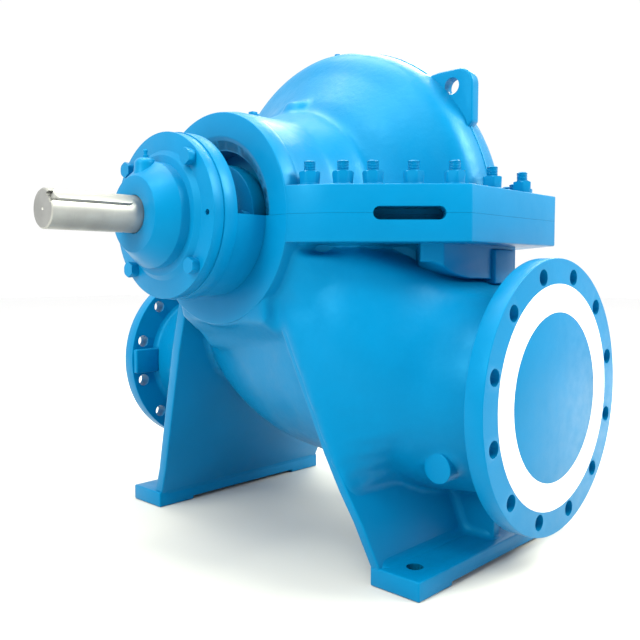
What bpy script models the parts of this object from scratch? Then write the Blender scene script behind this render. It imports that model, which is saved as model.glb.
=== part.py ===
"""Split case pump: a horizontal double-suction pump with a casing split at shaft height.

Pump coordinates: X along the shaft (drive end at -X), Y across (suction nozzle at -Y,
discharge nozzle at +Y), Z up from the floor. The pump's centre plane is X = 0 there.
An empty carries every object and sets the middle of the whole pump over the origin.
"""
from math import atan2, cos, hypot, pi, sin, sqrt

import bmesh
import bpy
from mathutils import Matrix, Vector

# Driving dimensions, in metres
GAP = 0.0003
RUNNING_GAP = 0.0006
CLEARANCE = 0.0055
OVERCUT = 0.012

SHAFT_HEIGHT = 0.600
NOZZLE_HEIGHT = 0.300
SHAFT_RADIUS = 0.030
SHAFT_DRIVE_END = 0.6405
SHAFT_BLIND_END = 0.452
KEY_WIDTH = 0.018
KEY_LENGTH = 0.132
KEY_TOP = 0.034
KEY_SEAT = 0.023
KEY_INSET = 0.004
KEY_TURN = 0.907
SHAFT_CHAMFER = 0.002
CENTRE_HOLE_RADIUS = 0.0028
CENTRE_HOLE_DEPTH = 0.004

SUCTION_FACE = 0.490
SUCTION_THICKNESS = 0.032
SUCTION_RADIUS = 0.230
SUCTION_BOLT_CIRCLE = 0.205
DISCHARGE_FACE = 0.490
DISCHARGE_THICKNESS = 0.030
DISCHARGE_RADIUS = 0.2025
DISCHARGE_BOLT_CIRCLE = 0.1775
FLANGE_BOLTS = 12
FLANGE_HOLE_RADIUS = 0.0135
COVER_THICKNESS = 0.0025
COVER_POCKET = COVER_THICKNESS + 2 * GAP
SUCTION_RING_OUTER = 0.188
SUCTION_RING_INNER = 0.1415
DISCHARGE_RING_OUTER = 0.158
DISCHARGE_RING_INNER = 0.118
TAPPING_HALF_HEIGHT = 0.028
TAPPING_DEPTH = 0.012
TAPPING_ROOT = 0.004
TAPPING_STEP = 0.002
TAPPING_NECK_GAP = 0.0035

CASING_END = 0.3235
CASING_END_RADIUS = 0.185
NECK_START = 0.300
NECK_RADIUS = 0.189
RING_BORE = 0.1440
RING_STEP_BORE = 0.1205
RING_STEP_DEPTH = 0.0135
LOWER_BORE = 0.1180
STUFFING_WALL = 0.262
SHAFT_BORE = 0.0485
SPLIT_THICKNESS = 0.0454
SPLIT_OUTLINE = ((0.3225, 0.192), (0.293, 0.250), (0.140, 0.412))
UNDERSIDE_OUTLINE = ((0.300, 0.120), (0.235, 0.215), (0.118, 0.345))
UNDERSIDE_BOTTOM = 0.500
SLOT_LENGTH = 0.115
SLOT_HEIGHT = 0.0215
SLOT_DEPTH = 0.045
SLOT_OFFSET = 0.0138

# Half section of the dome: distance from the centre plane, radius
DOME_RADIUS = 0.3415
SHOULDER = ((0.205, 0.189), (0.165, 0.1995), (0.148, 0.2090), (0.1395, 0.212))
DOME_FLANK = ((0.120, 0.2385), (0.100, 0.2625), (0.080, 0.2895), (0.068, 0.3095), (0.060, 0.3215))
CREST = ((0.050, 0.3315), (0.035, 0.3375), (0.020, 0.3405))
# The dome is a volute: its radius changes with the angle from the top, per radian
VOLUTE_GROWTH = 0.0165
VOLUTE_SHRINK = 0.030
VOLUTE_START = 0.205
VOLUTE_FULL = 0.250

# Sections of the lower body along Y: position, radius, height of the centre
BODY_SECTIONS = (
    (-0.4577, 0.166, 0.300),
    (-0.420, 0.171, 0.301),
    (-0.385, 0.182, 0.305),
    (-0.345, 0.200, 0.318),
    (-0.300, 0.238, 0.352),
    (-0.250, 0.268, 0.384),
    (-0.200, 0.281, 0.402),
    (-0.120, 0.277, 0.406),
    (-0.060, 0.266, 0.406),
    (0.000, 0.260, 0.406),
    (0.050, 0.250, 0.4075),
    (0.100, 0.238, 0.414),
    (0.140, 0.228, 0.425),
    (0.175, 0.212, 0.437),
    (0.205, 0.188, 0.446),
    (0.232, 0.150, 0.452),
    (0.248, 0.105, 0.455),
)
BODY_SEGMENTS = 40
DUCT_START = 0.020
DUCT_END = 0.4597
DUCT_RADIUS = 0.137

FOOT_HALF_LENGTH = 0.2445
FOOT_PAD_END = 0.155
FOOT_OUTER = 0.392
FOOT_INNER = 0.294
FOOT_TOP = 0.032
FOOT_RELIEF = 0.0075
FOOT_HOLE_X = 0.196
FOOT_HOLE_Y = 0.348
FOOT_HOLE_RADIUS = 0.014
WEB_LEAN = 0.4107
WEB_BASE = 0.030
SUCTION_WEB_THICKNESS = 0.020
SUCTION_WEB_EDGE = ((0.2425, 0.020), (0.254, 0.100), (0.266, 0.150), (0.276, 0.210), (0.288, 0.330),
                    (0.2975, 0.470))
DISCHARGE_WEB_THICKNESS = 0.0245
DISCHARGE_WEB_EDGE = ((0.2390, 0.020), (0.2450, 0.087), (0.2560, 0.158), (0.2690, 0.245), (0.2780, 0.305),
                      (0.2855, 0.354), (0.2975, 0.470))
RIB_START = 0.004
RIB_END = 0.024
RIB_REACH = 0.374
RIB_TOP = 0.200
RIB_ROOT = 0.005

SADDLE_HALF_WIDTH = 0.105
SADDLE_OUTLINE = ((0.180, 0.500), (0.180, 0.398), (0.268, 0.398), (0.3190, 0.425), (0.3190, 0.500))

DRAIN_X = 0.165
DRAIN_Y = -0.3675
DRAIN_Z = 0.190
DRAIN_RADIUS = 0.0255
DRAIN_DEPTH = 0.080

BRACKET_FACE = 0.4125
BRACKET_BACK = 0.387
BRACKET_RADIUS = 0.1395
BARREL_RADIUS = 0.1345
BARREL_TAPER = 0.002
BARREL_LAP = 0.006
COVER_BACK = 0.4128
COVER_FACE = 0.4330
COVER_RADIUS = 0.1375
COVER_PAD_FACE = 0.4405
COVER_PAD_RADIUS = 0.1030
COVER_PAD_SLOPE = 0.004
COVER_HUB_RADIUS = 0.0870
COVER_HUB_FACE = 0.4570
NOSE_FACE = 0.4880
NOSE_RADIUS = 0.0615
COVER_BOSS_X = 0.4635
COVER_BOSS_RADIUS = 0.0165
COVER_BOSS_ROOT = 0.045
COVER_BOSS_TOP = 0.0945

GLAND_FACE = 0.316
GLAND_BACK = 0.286
GLAND_RADIUS = 0.0965
GLAND_SPIGOT_RADIUS = 0.066
SLEEVE_RADIUS = 0.043
SLEEVE_OUTER_END = 0.366
SLEEVE_INNER_END = 0.215

LUG_THICKNESS = 0.022
LUG_OUTER = 0.328
LUG_TOP = 0.268
LUG_CORNER = 0.030
LUG_HEEL = 0.172
LUG_CORNER_STEPS = 8
LUG_ROOT = 0.226
LUG_SLOPE = 0.004
LUG_FOOT = (0.270, 0.115)
LUG_INNER = (0.180, 0.200)
LUG_HOLE_Y = 0.285
LUG_HOLE_Z = 0.239
LUG_HOLE_RADIUS = 0.015

# Small fittings: radius, height, number of sides
VENT_PLUG = (0.0075, 0.010, 6)
NECK_PLUG = (0.009, 0.013, 4)
NIPPLE = (0.0055, 0.014, 8)
NECK_PLUG_X = 0.231

SMOOTH_ANGLE = 0.61

COLOURS = {
    "blue_paint": ((0.004, 0.292, 0.64), 0.38, 0.0),
    "white_face": ((0.90, 0.91, 0.93), 0.45, 0.0),
    "machined_steel": ((0.56, 0.55, 0.53), 0.34, 1.0),
}


def clear_scene():
    for old in list(bpy.data.objects):
        bpy.data.objects.remove(old, do_unlink=True)


def make_materials():
    made = {}
    for name, (colour, roughness, metallic) in COLOURS.items():
        material = bpy.data.materials.new(name)
        material.use_nodes = True
        shader = material.node_tree.nodes["Principled BSDF"]
        shader.inputs["Base Color"].default_value = (*colour, 1.0)
        shader.inputs["Roughness"].default_value = roughness
        shader.inputs["Metallic"].default_value = metallic
        made[name] = material
    return made


def place(name, bm, material="blue_paint"):
    """Close a bmesh into a named object carried by the pump's empty."""
    bmesh.ops.remove_doubles(bm, verts=bm.verts, dist=1e-6)
    bmesh.ops.recalc_face_normals(bm, faces=bm.faces)
    mesh = bpy.data.meshes.new(name)
    bm.to_mesh(mesh)
    bm.free()
    mesh.shade_smooth()
    mesh.set_sharp_from_angle(angle=SMOOTH_ANGLE)
    mesh.materials.append(MATERIALS[material])
    made = bpy.data.objects.new(name, mesh)
    bpy.context.scene.collection.objects.link(made)
    made.parent = CARRIER
    return made


def shape(target, bm, operation):
    """Add a helper solid to a target, or take it away, with an exact Boolean."""
    helper = place(target.name + "_" + operation.lower(), bm)
    helper.hide_render = True
    helper.display_type = "WIRE"
    boolean = target.modifiers.new(operation, "BOOLEAN")
    boolean.operation = operation
    boolean.solver = "EXACT"
    boolean.object = helper
    return helper


def add(target, bm):
    return shape(target, bm, "UNION")


def take(target, bm):
    return shape(target, bm, "DIFFERENCE")


def turned(profile, segments=64, height=SHAFT_HEIGHT, closed=False, axis="X", centre=0.0):
    """Spin a profile of (distance along the axis, radius) points round a horizontal axis."""
    bm = bmesh.new()
    verts = [bm.verts.new((along, 0.0, radius)) for along, radius in profile]
    pairs = list(zip(verts, verts[1:]))
    if closed:
        pairs.append((verts[-1], verts[0]))
    for first, second in pairs:
        bm.edges.new((first, second))
    bmesh.ops.spin(bm, geom=bm.verts[:] + bm.edges[:], cent=(0, 0, 0), axis=(1, 0, 0),
                   angle=2 * pi, steps=segments, use_merge=True)
    bmesh.ops.remove_doubles(bm, verts=bm.verts, dist=1e-6)
    if axis == "Y":
        bmesh.ops.rotate(bm, verts=bm.verts, cent=(0, 0, 0), matrix=Matrix.Rotation(pi / 2, 3, "Z"))
    bmesh.ops.translate(bm, verts=bm.verts, vec=(centre if axis == "Y" else 0.0, 0.0, height))
    return bm


def pipe(start, end, inner, outer, segments=64, **where):
    """A straight ring, with a hole through it."""
    return turned([(start, inner), (start, outer), (end, outer), (end, inner)],
                  segments, closed=True, **where)


def rod(start, end, radius, segments=64, **where):
    """A straight solid cylinder."""
    return turned([(start, 0.0), (start, radius), (end, radius), (end, 0.0)], segments, **where)


def prism(points, depth):
    """Extrude a closed outline of 3D points along a vector."""
    bm = bmesh.new()
    face = bm.faces.new([bm.verts.new(point) for point in points])
    moved = bmesh.ops.extrude_face_region(bm, geom=[face])["geom"]
    moved = [item for item in moved if isinstance(item, bmesh.types.BMVert)]
    bmesh.ops.translate(bm, verts=moved, vec=depth)
    return bm


def block(low, high):
    """A rectangular block between two corners."""
    (x0, y0, z0), (x1, y1, z1) = low, high
    return prism([(x0, y0, z0), (x1, y0, z0), (x1, y1, z0), (x0, y1, z0)], (0, 0, z1 - z0))


def together(parts):
    """Put solids that don't touch into one bmesh."""
    bm = bmesh.new()
    for part in parts:
        mesh = bpy.data.meshes.new("part")
        part.to_mesh(mesh)
        part.free()
        bm.from_mesh(mesh)
        bpy.data.meshes.remove(mesh)
    return bm


def circle(radius, steps, turn=0.0):
    """Corners of a regular polygon on a circle, as pairs."""
    angles = [turn + 2 * pi * step / steps for step in range(steps)]
    return [(radius * cos(angle), radius * sin(angle)) for angle in angles]


def mirrored_outline(quarter):
    """Close a quarter outline, given as (x, y) points, over both centre planes."""
    forward = list(quarter)
    backward = list(reversed(quarter))
    return ([(x, -y) for x, y in backward] + [(x, y) for x, y in forward]
            + [(-x, y) for x, y in backward] + [(-x, -y) for x, y in forward])


def plate(outline, bottom, top):
    return prism([(x, y, bottom) for x, y in outline], (0, 0, top - bottom))


def lower_body(grow=0.0):
    """The round body from the suction flange to the end of the volute."""
    bm = bmesh.new()
    rings = []
    for y, radius, height in BODY_SECTIONS:
        section = circle(radius + grow, BODY_SEGMENTS, pi / BODY_SEGMENTS)
        rings.append([bm.verts.new((x, y, height + z)) for x, z in section])
    for near, far in zip(rings, rings[1:]):
        for step in range(BODY_SEGMENTS):
            after = (step + 1) % BODY_SEGMENTS
            bm.faces.new((near[step], near[after], far[after], far[step]))
    bm.faces.new(rings[0])
    bm.faces.new(rings[-1])
    return bm


def discharge_duct(grow=0.0):
    """The straight duct from the volute to the discharge flange."""
    return rod(DUCT_START, DUCT_END, DUCT_RADIUS + grow, 48, height=NOZZLE_HEIGHT, axis="Y")


def necks(grow=0.0):
    """The round barrel along the shaft, between the two casing ends."""
    half = [(CASING_END + grow, CASING_END_RADIUS + grow), (NECK_START, NECK_RADIUS + grow)]
    return turned([(-half[0][0], 0.0)] + [(-x, r) for x, r in half]
                  + [(x, r) for x, r in reversed(half)] + [(half[0][0], 0.0)], 60)


def saddle(side, grow=0.0):
    """The block under a casing end, between the two legs. It slopes back into the body."""
    width = SADDLE_HALF_WIDTH + grow
    points = []
    for x, z in SADDLE_OUTLINE:
        down = grow if z < SADDLE_OUTLINE[-1][1] else 0.0
        points.append((side * (x + (grow if x > SADDLE_OUTLINE[0][0] else 0.0)), -width, z - down))
    return prism(points, (0, 2 * width, 0))


def bores(mouth):
    """Both open casing ends and the shaft's bore, as one solid to take away.

    The mouth is a list of (distance from the centre plane, radius) points.
    """
    half = list(mouth) + [(STUFFING_WALL, mouth[-1][1]), (STUFFING_WALL, SHAFT_BORE)]
    return turned([(-mouth[0][0], 0.0)] + [(-x, r) for x, r in half]
                  + [(x, r) for x, r in reversed(half)] + [(mouth[0][0], 0.0)], 48)


def slot(side_x, side_y):
    """The slot with round ends in one slanted edge of the split flange."""
    (x0, y0), (x1, y1) = SPLIT_OUTLINE[1], SPLIT_OUTLINE[2]
    length = hypot(x1 - x0, y1 - y0)
    along = Vector(((x1 - x0) / length, (y1 - y0) / length, 0))
    outward = Vector((-along.y, along.x, 0)) * (-1 if -along.y < 0 else 1)
    middle = Vector(((x0 + x1) / 2, (y0 + y1) / 2, SHAFT_HEIGHT)) + along * SLOT_OFFSET
    half = (SLOT_LENGTH - SLOT_HEIGHT) / 2
    round_steps = 8
    points = []
    for end in (1, -1):
        for step in range(round_steps + 1):
            angle = pi / 2 - pi * step / round_steps
            local = along * end * (half + SLOT_HEIGHT / 2 * cos(angle))
            local.z = end * SLOT_HEIGHT / 2 * sin(angle)
            points.append(middle + local - outward * SLOT_DEPTH)
    mirror = Matrix.Diagonal((side_x, side_y, 1))
    depth = mirror @ (outward * (SLOT_DEPTH + OVERCUT))
    return prism([mirror @ point for point in points], depth)


def cut_openings(casing, mouth):
    slots = [slot(side_x, side_y) for side_x in (-1, 1) for side_y in (-1, 1)]
    take(casing, together([bores(mouth)] + slots))


def lower_casing():
    casing = place("lower_casing", lower_body())
    add(casing, discharge_duct())
    add(casing, necks())
    flange = mirrored_outline(SPLIT_OUTLINE)
    add(casing, plate(flange, SHAFT_HEIGHT - SPLIT_THICKNESS, SHAFT_HEIGHT + OVERCUT))
    add(casing, plate(mirrored_outline(UNDERSIDE_OUTLINE), UNDERSIDE_BOTTOM, SHAFT_HEIGHT - OVERCUT))
    for side in (-1, 1):
        add(casing, saddle(side))
        add(casing, drain_boss(side))
    take(casing, block((-1, -1, SHAFT_HEIGHT - GAP / 2), (1, 1, 2)))
    cut_openings(casing, [(CASING_END + OVERCUT, LOWER_BORE)])


def drain_boss(side):
    """A short round boss that reaches out of the suction duct along the shaft's direction."""
    disc = [(side * DRAIN_X, DRAIN_Y + y, DRAIN_Z + z) for y, z in circle(DRAIN_RADIUS, 24)]
    return prism(disc, (-side * DRAIN_DEPTH, 0, 0))


def dome(grow=0.0):
    """The upper casing: two necks and the volute between them, turned and then drawn out."""
    half = [(CASING_END, CASING_END_RADIUS), (NECK_START, NECK_RADIUS), *SHOULDER, *DOME_FLANK, *CREST,
            (0.0, DOME_RADIUS)]
    half = [(-x, r + grow) for x, r in half]
    other = [(-x, r) for x, r in reversed(half[:-1])]
    bm = turned([(-CASING_END, 0.0)] + half + other + [(CASING_END, 0.0)], 60)
    for vert in bm.verts:
        across, up = vert.co.y, vert.co.z - SHAFT_HEIGHT
        radius = hypot(across, up)
        angle = atan2(-across, abs(up))
        share = min(max((radius - VOLUTE_START) / (VOLUTE_FULL - VOLUTE_START), 0.0), 1.0)
        stretch = share * angle * (VOLUTE_GROWTH if angle > 0 else VOLUTE_SHRINK)
        if radius > 0:
            vert.co.y += stretch * across / radius
            vert.co.z += stretch * up / radius
    return bm


def upper_casing():
    casing = place("upper_casing", dome())
    flange = mirrored_outline(SPLIT_OUTLINE)
    add(casing, plate(flange, SHAFT_HEIGHT - OVERCUT, SHAFT_HEIGHT + SPLIT_THICKNESS))
    take(casing, block((-1, -1, -1), (1, 1, SHAFT_HEIGHT + GAP / 2)))
    slope = (RING_BORE - RING_STEP_BORE) / RING_STEP_DEPTH
    cut_openings(casing, [(CASING_END + OVERCUT, RING_BORE + OVERCUT * slope),
                          (CASING_END - RING_STEP_DEPTH, RING_STEP_BORE)])


def pipe_flange(name, side, face, thickness, radius, bolt_circle, ring_outer, neck_radius=None):
    """A round pipe flange with its bolt holes and a shallow pocket for the transport cover.

    Given the neck's radius, it gets a tapping boss behind it on each hand.
    """
    start, end = sorted((side * face, side * (face - thickness)))
    flange = place(name, rod(start, end, radius, 64, height=NOZZLE_HEIGHT, axis="Y"))
    if neck_radius:
        for hand in (-1, 1):
            add(flange, tapping_boss(hand, side, face - thickness, radius, neck_radius))
    pocket = rod(side * (face - COVER_POCKET), side * (face + OVERCUT), ring_outer + GAP, 64,
                 height=NOZZLE_HEIGHT, axis="Y")
    ends = start - OVERCUT, end + OVERCUT
    holes = [rod(*ends, FLANGE_HOLE_RADIUS, 12, height=NOZZLE_HEIGHT + z, axis="Y", centre=x)
             for x, z in circle(bolt_circle, FLANGE_BOLTS, pi / FLANGE_BOLTS)]
    take(flange, together([pocket] + holes))


def tapping_boss(hand, side, back, radius, neck_radius):
    """A square boss behind a flange, from the neck to the flange's rim."""
    near, far = sorted((side * (back + TAPPING_ROOT), side * (back - TAPPING_DEPTH)))
    reach = sqrt(radius ** 2 - TAPPING_HALF_HEIGHT ** 2) - TAPPING_STEP
    low, high = sorted((hand * reach, hand * (neck_radius + TAPPING_NECK_GAP)))
    return block((low, near, NOZZLE_HEIGHT - TAPPING_HALF_HEIGHT),
                 (high, far, NOZZLE_HEIGHT + TAPPING_HALF_HEIGHT))


def flange_cover(prefix, side, face, outer, inner):
    """The white ring and the blue disc that close a nozzle for transport, sunk into its face."""
    start, end = sorted((side * (face - GAP), side * (face - GAP - COVER_THICKNESS)))
    where = {"height": NOZZLE_HEIGHT, "axis": "Y"}
    place(prefix + "_cover_ring", pipe(start, end, inner, outer, 64, **where), "white_face")
    place(prefix + "_cover_disc", rod(start, end, inner - GAP * 2, 64, **where))


def web_inner(height):
    return FOOT_INNER - WEB_LEAN * (height - WEB_BASE)


def leg(name, side, thickness, web_edge):
    """One foot rail with its slanted web and the rib under the nozzle."""
    inner, outer = sorted((side * FOOT_INNER, side * FOOT_OUTER))
    rail = place(name, block((-FOOT_HALF_LENGTH, inner, 0.0), (FOOT_HALF_LENGTH, outer, FOOT_TOP)))
    edge = [(-x, z) for x, z in web_edge] + [(x, z) for x, z in reversed(web_edge)]
    add(rail, prism([(x, side * web_inner(z), z) for x, z in edge], (0, side * thickness, 0)))
    low = web_edge[0][1]
    foot, head = web_inner(low) + RIB_ROOT, web_inner(RIB_TOP) + RIB_ROOT
    rib = [(RIB_START, side * y, z)
           for y, z in ((foot, low), (RIB_REACH, low), (RIB_REACH, RIB_TOP), (head, RIB_TOP))]
    add(rail, prism(rib, (RIB_END - RIB_START, 0, 0)))
    take(rail, block((-FOOT_PAD_END, -1, -OVERCUT), (FOOT_PAD_END, 1, FOOT_RELIEF)))
    take(rail, lower_body(GAP))
    take(rail, discharge_duct(GAP))
    take(rail, necks(GAP))
    for hand in (-1, 1):
        take(rail, saddle(hand, GAP))
        take(rail, round_hole(hand * FOOT_HOLE_X, side * FOOT_HOLE_Y))


def round_hole(x, y):
    outline = [(x + dx, y + dy) for dx, dy in circle(FOOT_HOLE_RADIUS, 20)]
    return plate(outline, -OVERCUT, FOOT_TOP + OVERCUT)


def lug(name, side):
    """A lifting eye on the dome, in the pump's centre plane."""
    corner_y, corner_z = LUG_OUTER - LUG_CORNER, LUG_TOP - LUG_CORNER
    outline = [(LUG_ROOT, LUG_TOP - LUG_SLOPE), (LUG_ROOT + LUG_CORNER, LUG_TOP)]
    for step in range(LUG_CORNER_STEPS + 1):
        angle = pi / 2 * (1 - step / LUG_CORNER_STEPS)
        outline.append((corner_y + LUG_CORNER * cos(angle), corner_z + LUG_CORNER * sin(angle)))
    outline += [(LUG_OUTER, LUG_HEEL), LUG_FOOT, LUG_INNER]
    points = [(-LUG_THICKNESS / 2, side * y, SHAFT_HEIGHT + z) for y, z in outline]
    eye = place(name, prism(points, (LUG_THICKNESS, 0, 0)))
    hole = [(-LUG_THICKNESS, side * (LUG_HOLE_Y + y), SHAFT_HEIGHT + LUG_HOLE_Z + z)
            for y, z in circle(LUG_HOLE_RADIUS, 24)]
    take(eye, prism(hole, (2 * LUG_THICKNESS, 0, 0)))
    take(eye, dome(GAP))


def bearing_bracket(name, side):
    """The round bearing seat and the open half barrel that carries it."""
    bracket = place(name, pipe(side * BRACKET_FACE, side * BRACKET_BACK,
                               SHAFT_RADIUS + CLEARANCE, BRACKET_RADIUS, 56))
    ends = ((BRACKET_FACE - BARREL_LAP, BARREL_RADIUS + BARREL_TAPER), (CASING_END + GAP, BARREL_RADIUS))
    outside = [(side * x, r) for x, r in ends]
    inside = [(side * x, LOWER_BORE) for x, r in reversed(ends)]
    barrel = turned(outside + inside, 56, closed=True)
    bmesh.ops.bisect_plane(barrel, geom=barrel.verts[:] + barrel.edges[:] + barrel.faces[:],
                           plane_co=(0, 0, SHAFT_HEIGHT), plane_no=(0, 0, 1), clear_outer=True)
    bmesh.ops.holes_fill(barrel, edges=[edge for edge in barrel.edges if edge.is_boundary])
    add(bracket, barrel)


def bearing_cover(name, side, open_nose):
    """The coned cover bolted to the bearing bracket, with the boss for its grease nipple."""
    outer = [(COVER_BACK, COVER_RADIUS), (COVER_FACE, COVER_RADIUS),
             (COVER_FACE, COVER_PAD_RADIUS + COVER_PAD_SLOPE),
             (COVER_PAD_FACE, COVER_PAD_RADIUS - COVER_PAD_SLOPE), (COVER_PAD_FACE, COVER_HUB_RADIUS),
             (COVER_HUB_FACE, COVER_HUB_RADIUS), (NOSE_FACE, NOSE_RADIUS)]
    bore = SHAFT_RADIUS + RUNNING_GAP
    if open_nose:
        profile = [(COVER_BACK, bore)] + outer + [(NOSE_FACE, bore)]
    else:
        pocket = SHAFT_BLIND_END + CLEARANCE
        profile = [(pocket, 0.0), (pocket, bore), (COVER_BACK, bore)] + outer + [(NOSE_FACE, 0.0)]
    cover = place(name, turned([(side * x, r) for x, r in profile], 48, closed=open_nose))
    boss = [(side * COVER_BOSS_X + x, y) for x, y in circle(COVER_BOSS_RADIUS, 24)]
    add(cover, plate(boss, SHAFT_HEIGHT + COVER_BOSS_ROOT, SHAFT_HEIGHT + COVER_BOSS_TOP))


def gland(name, side):
    """The gland flange and its spigot inside the casing end."""
    bore = SLEEVE_RADIUS + CLEARANCE
    profile = [(GLAND_FACE, bore), (GLAND_FACE, GLAND_RADIUS), (GLAND_BACK, GLAND_RADIUS),
               (GLAND_BACK, GLAND_SPIGOT_RADIUS), (STUFFING_WALL + GAP, GLAND_SPIGOT_RADIUS),
               (STUFFING_WALL + GAP, bore)]
    place(name, turned([(side * x, r) for x, r in profile], 40, closed=True))


def rotor():
    """Shaft, key and shaft sleeves: everything that turns."""
    shaft = place("shaft", turned([(-SHAFT_DRIVE_END + CENTRE_HOLE_DEPTH, 0.0),
                                   (-SHAFT_DRIVE_END, CENTRE_HOLE_RADIUS),
                                   (-SHAFT_DRIVE_END, SHAFT_RADIUS - SHAFT_CHAMFER),
                                   (-SHAFT_DRIVE_END + SHAFT_CHAMFER, SHAFT_RADIUS),
                                   (SHAFT_BLIND_END, SHAFT_RADIUS), (SHAFT_BLIND_END, 0.0)], 40),
                  "machined_steel")
    seat_start = -SHAFT_DRIVE_END + KEY_INSET
    keyway_start = -SHAFT_DRIVE_END - KEY_WIDTH
    keyway_length = seat_start + KEY_LENGTH + GAP - keyway_start
    take(shaft, key_shape(keyway_start, keyway_length, KEY_WIDTH / 2 + GAP, KEY_SEAT - GAP,
                          KEY_TOP + OVERCUT))
    key = key_shape(seat_start, KEY_LENGTH, KEY_WIDTH / 2, KEY_SEAT, KEY_TOP)
    place("shaft_key", key, "machined_steel")
    for name, side in (("drive_shaft_sleeve", -1), ("nondrive_shaft_sleeve", 1)):
        ends = side * SLEEVE_OUTER_END, side * SLEEVE_INNER_END
        place(name, pipe(*ends, SHAFT_RADIUS + GAP, SLEEVE_RADIUS, 32), "machined_steel")


def key_shape(start, length, half_width, low, high):
    """A round-ended key lying along the shaft, turned from the top towards the suction side."""
    steps = 8
    points = []
    for end in (1, -1):
        middle = start + (length - half_width if end == 1 else half_width)
        for step in range(steps + 1):
            angle = -pi / 2 + pi * step / steps
            across = end * half_width * sin(angle)
            points.append((middle + end * half_width * cos(angle), across, SHAFT_HEIGHT + low))
    bm = prism(points, (0, 0, high - low))
    turn = Matrix.Rotation(KEY_TURN, 3, "X")
    bmesh.ops.rotate(bm, verts=bm.verts, cent=(0, 0, SHAFT_HEIGHT), matrix=turn)
    return bm


def post(name, x, seat, form):
    """A small upright plug over the shaft, seated at a radius from it."""
    radius, height, sides = form
    points = [(x + dx, dy, SHAFT_HEIGHT + seat + GAP) for dx, dy in circle(radius, sides, pi / sides)]
    place(name, prism(points, (0, 0, height)))


def small_fittings():
    post("vent_plug", 0.0, DOME_RADIUS, VENT_PLUG)
    for name, side in (("drive", -1), ("nondrive", 1)):
        post(name + "_neck_plug", side * NECK_PLUG_X, NECK_RADIUS, NECK_PLUG)
        post(name + "_grease_nipple", side * COVER_BOSS_X, COVER_BOSS_TOP, NIPPLE)


def build_pump():
    lower_casing()
    upper_casing()
    pipe_flange("suction_flange", -1, SUCTION_FACE, SUCTION_THICKNESS, SUCTION_RADIUS,
                SUCTION_BOLT_CIRCLE, SUCTION_RING_OUTER)
    pipe_flange("discharge_flange", 1, DISCHARGE_FACE, DISCHARGE_THICKNESS, DISCHARGE_RADIUS,
                DISCHARGE_BOLT_CIRCLE, DISCHARGE_RING_OUTER, DUCT_RADIUS)
    flange_cover("suction", -1, SUCTION_FACE, SUCTION_RING_OUTER, SUCTION_RING_INNER)
    flange_cover("discharge", 1, DISCHARGE_FACE, DISCHARGE_RING_OUTER, DISCHARGE_RING_INNER)
    leg("suction_side_leg", -1, SUCTION_WEB_THICKNESS, SUCTION_WEB_EDGE)
    leg("discharge_side_leg", 1, DISCHARGE_WEB_THICKNESS, DISCHARGE_WEB_EDGE)
    lug("suction_side_lug", -1)
    lug("discharge_side_lug", 1)
    for name, side, open_nose in (("drive", -1, True), ("nondrive", 1, False)):
        bearing_bracket(name + "_bearing_bracket", side)
        bearing_cover(name + "_bearing_cover", side, open_nose)
        gland(name + "_gland", side)
    rotor()
    small_fittings()


clear_scene()
MATERIALS = make_materials()
CARRIER = bpy.data.objects.new("pump_centre", None)
bpy.context.scene.collection.objects.link(CARRIER)
CARRIER.location.x = (SHAFT_DRIVE_END - NOSE_FACE) / 2
build_pump()
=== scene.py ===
"""Split case pump, finished: filleted castings, machined rims, studs, covers and semi-gloss paint.

Profiles along the shaft are (distance from that plane, radius).
"""
from math import atan2, cos, exp, hypot, pi, radians, sin, sqrt

import bmesh
import bpy
from mathutils import Matrix, Vector


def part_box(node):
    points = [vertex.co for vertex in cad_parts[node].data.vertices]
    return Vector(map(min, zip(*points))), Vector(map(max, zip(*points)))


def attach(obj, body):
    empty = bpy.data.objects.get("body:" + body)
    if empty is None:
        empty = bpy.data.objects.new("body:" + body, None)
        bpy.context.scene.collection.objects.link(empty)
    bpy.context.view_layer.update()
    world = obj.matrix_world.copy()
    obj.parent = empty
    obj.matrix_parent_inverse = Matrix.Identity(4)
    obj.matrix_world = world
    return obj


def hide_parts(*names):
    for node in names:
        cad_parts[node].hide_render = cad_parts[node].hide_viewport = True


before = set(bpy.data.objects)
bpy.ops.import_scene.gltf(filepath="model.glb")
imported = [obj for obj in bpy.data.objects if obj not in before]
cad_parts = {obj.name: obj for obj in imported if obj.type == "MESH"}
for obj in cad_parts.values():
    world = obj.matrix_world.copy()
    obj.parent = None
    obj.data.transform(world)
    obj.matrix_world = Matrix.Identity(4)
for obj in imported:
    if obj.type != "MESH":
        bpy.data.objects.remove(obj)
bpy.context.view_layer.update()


def extent(node):
    """Middle and half size of a node's box."""
    low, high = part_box(node)
    return (low + high) / 2, (high - low) / 2


SUCTION_MIDDLE, SUCTION_HALF = extent("suction_flange")
SHAFT_MIDDLE, SHAFT_HALF = extent("shaft")
CENTRE_X = SUCTION_MIDDLE.x
NOZZLE_Z = SUCTION_MIDDLE.z
SUCTION_RADIUS = SUCTION_HALF.x
DISCHARGE_RADIUS = extent("discharge_flange")[1].x
SHAFT_Z = SHAFT_MIDDLE.z
SHAFT_RADIUS = SHAFT_HALF.y
SHAFT_DRIVE_END = CENTRE_X - (SHAFT_MIDDLE.x - SHAFT_HALF.x)
SHAFT_BLIND_END = SHAFT_MIDDLE.x + SHAFT_HALF.x - CENTRE_X
NOZZLE_AXIS = {"axis": "Y", "centre": (0.0, NOZZLE_Z)}
AT_ORIGIN = {"centre": (0.0, 0.0)}
ENDS = (("drive", -1), ("nondrive", 1))

# Clearance, overlap of pieces, reach of a cutter past its part, and four numbers of steps
GAP = 0.0003
LAP = 0.002
OVERCUT = 0.012
ROUND = 128
FINE_ROUND = 256
HALF_ROUND = 12
HOLE_SIDES = 40

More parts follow.
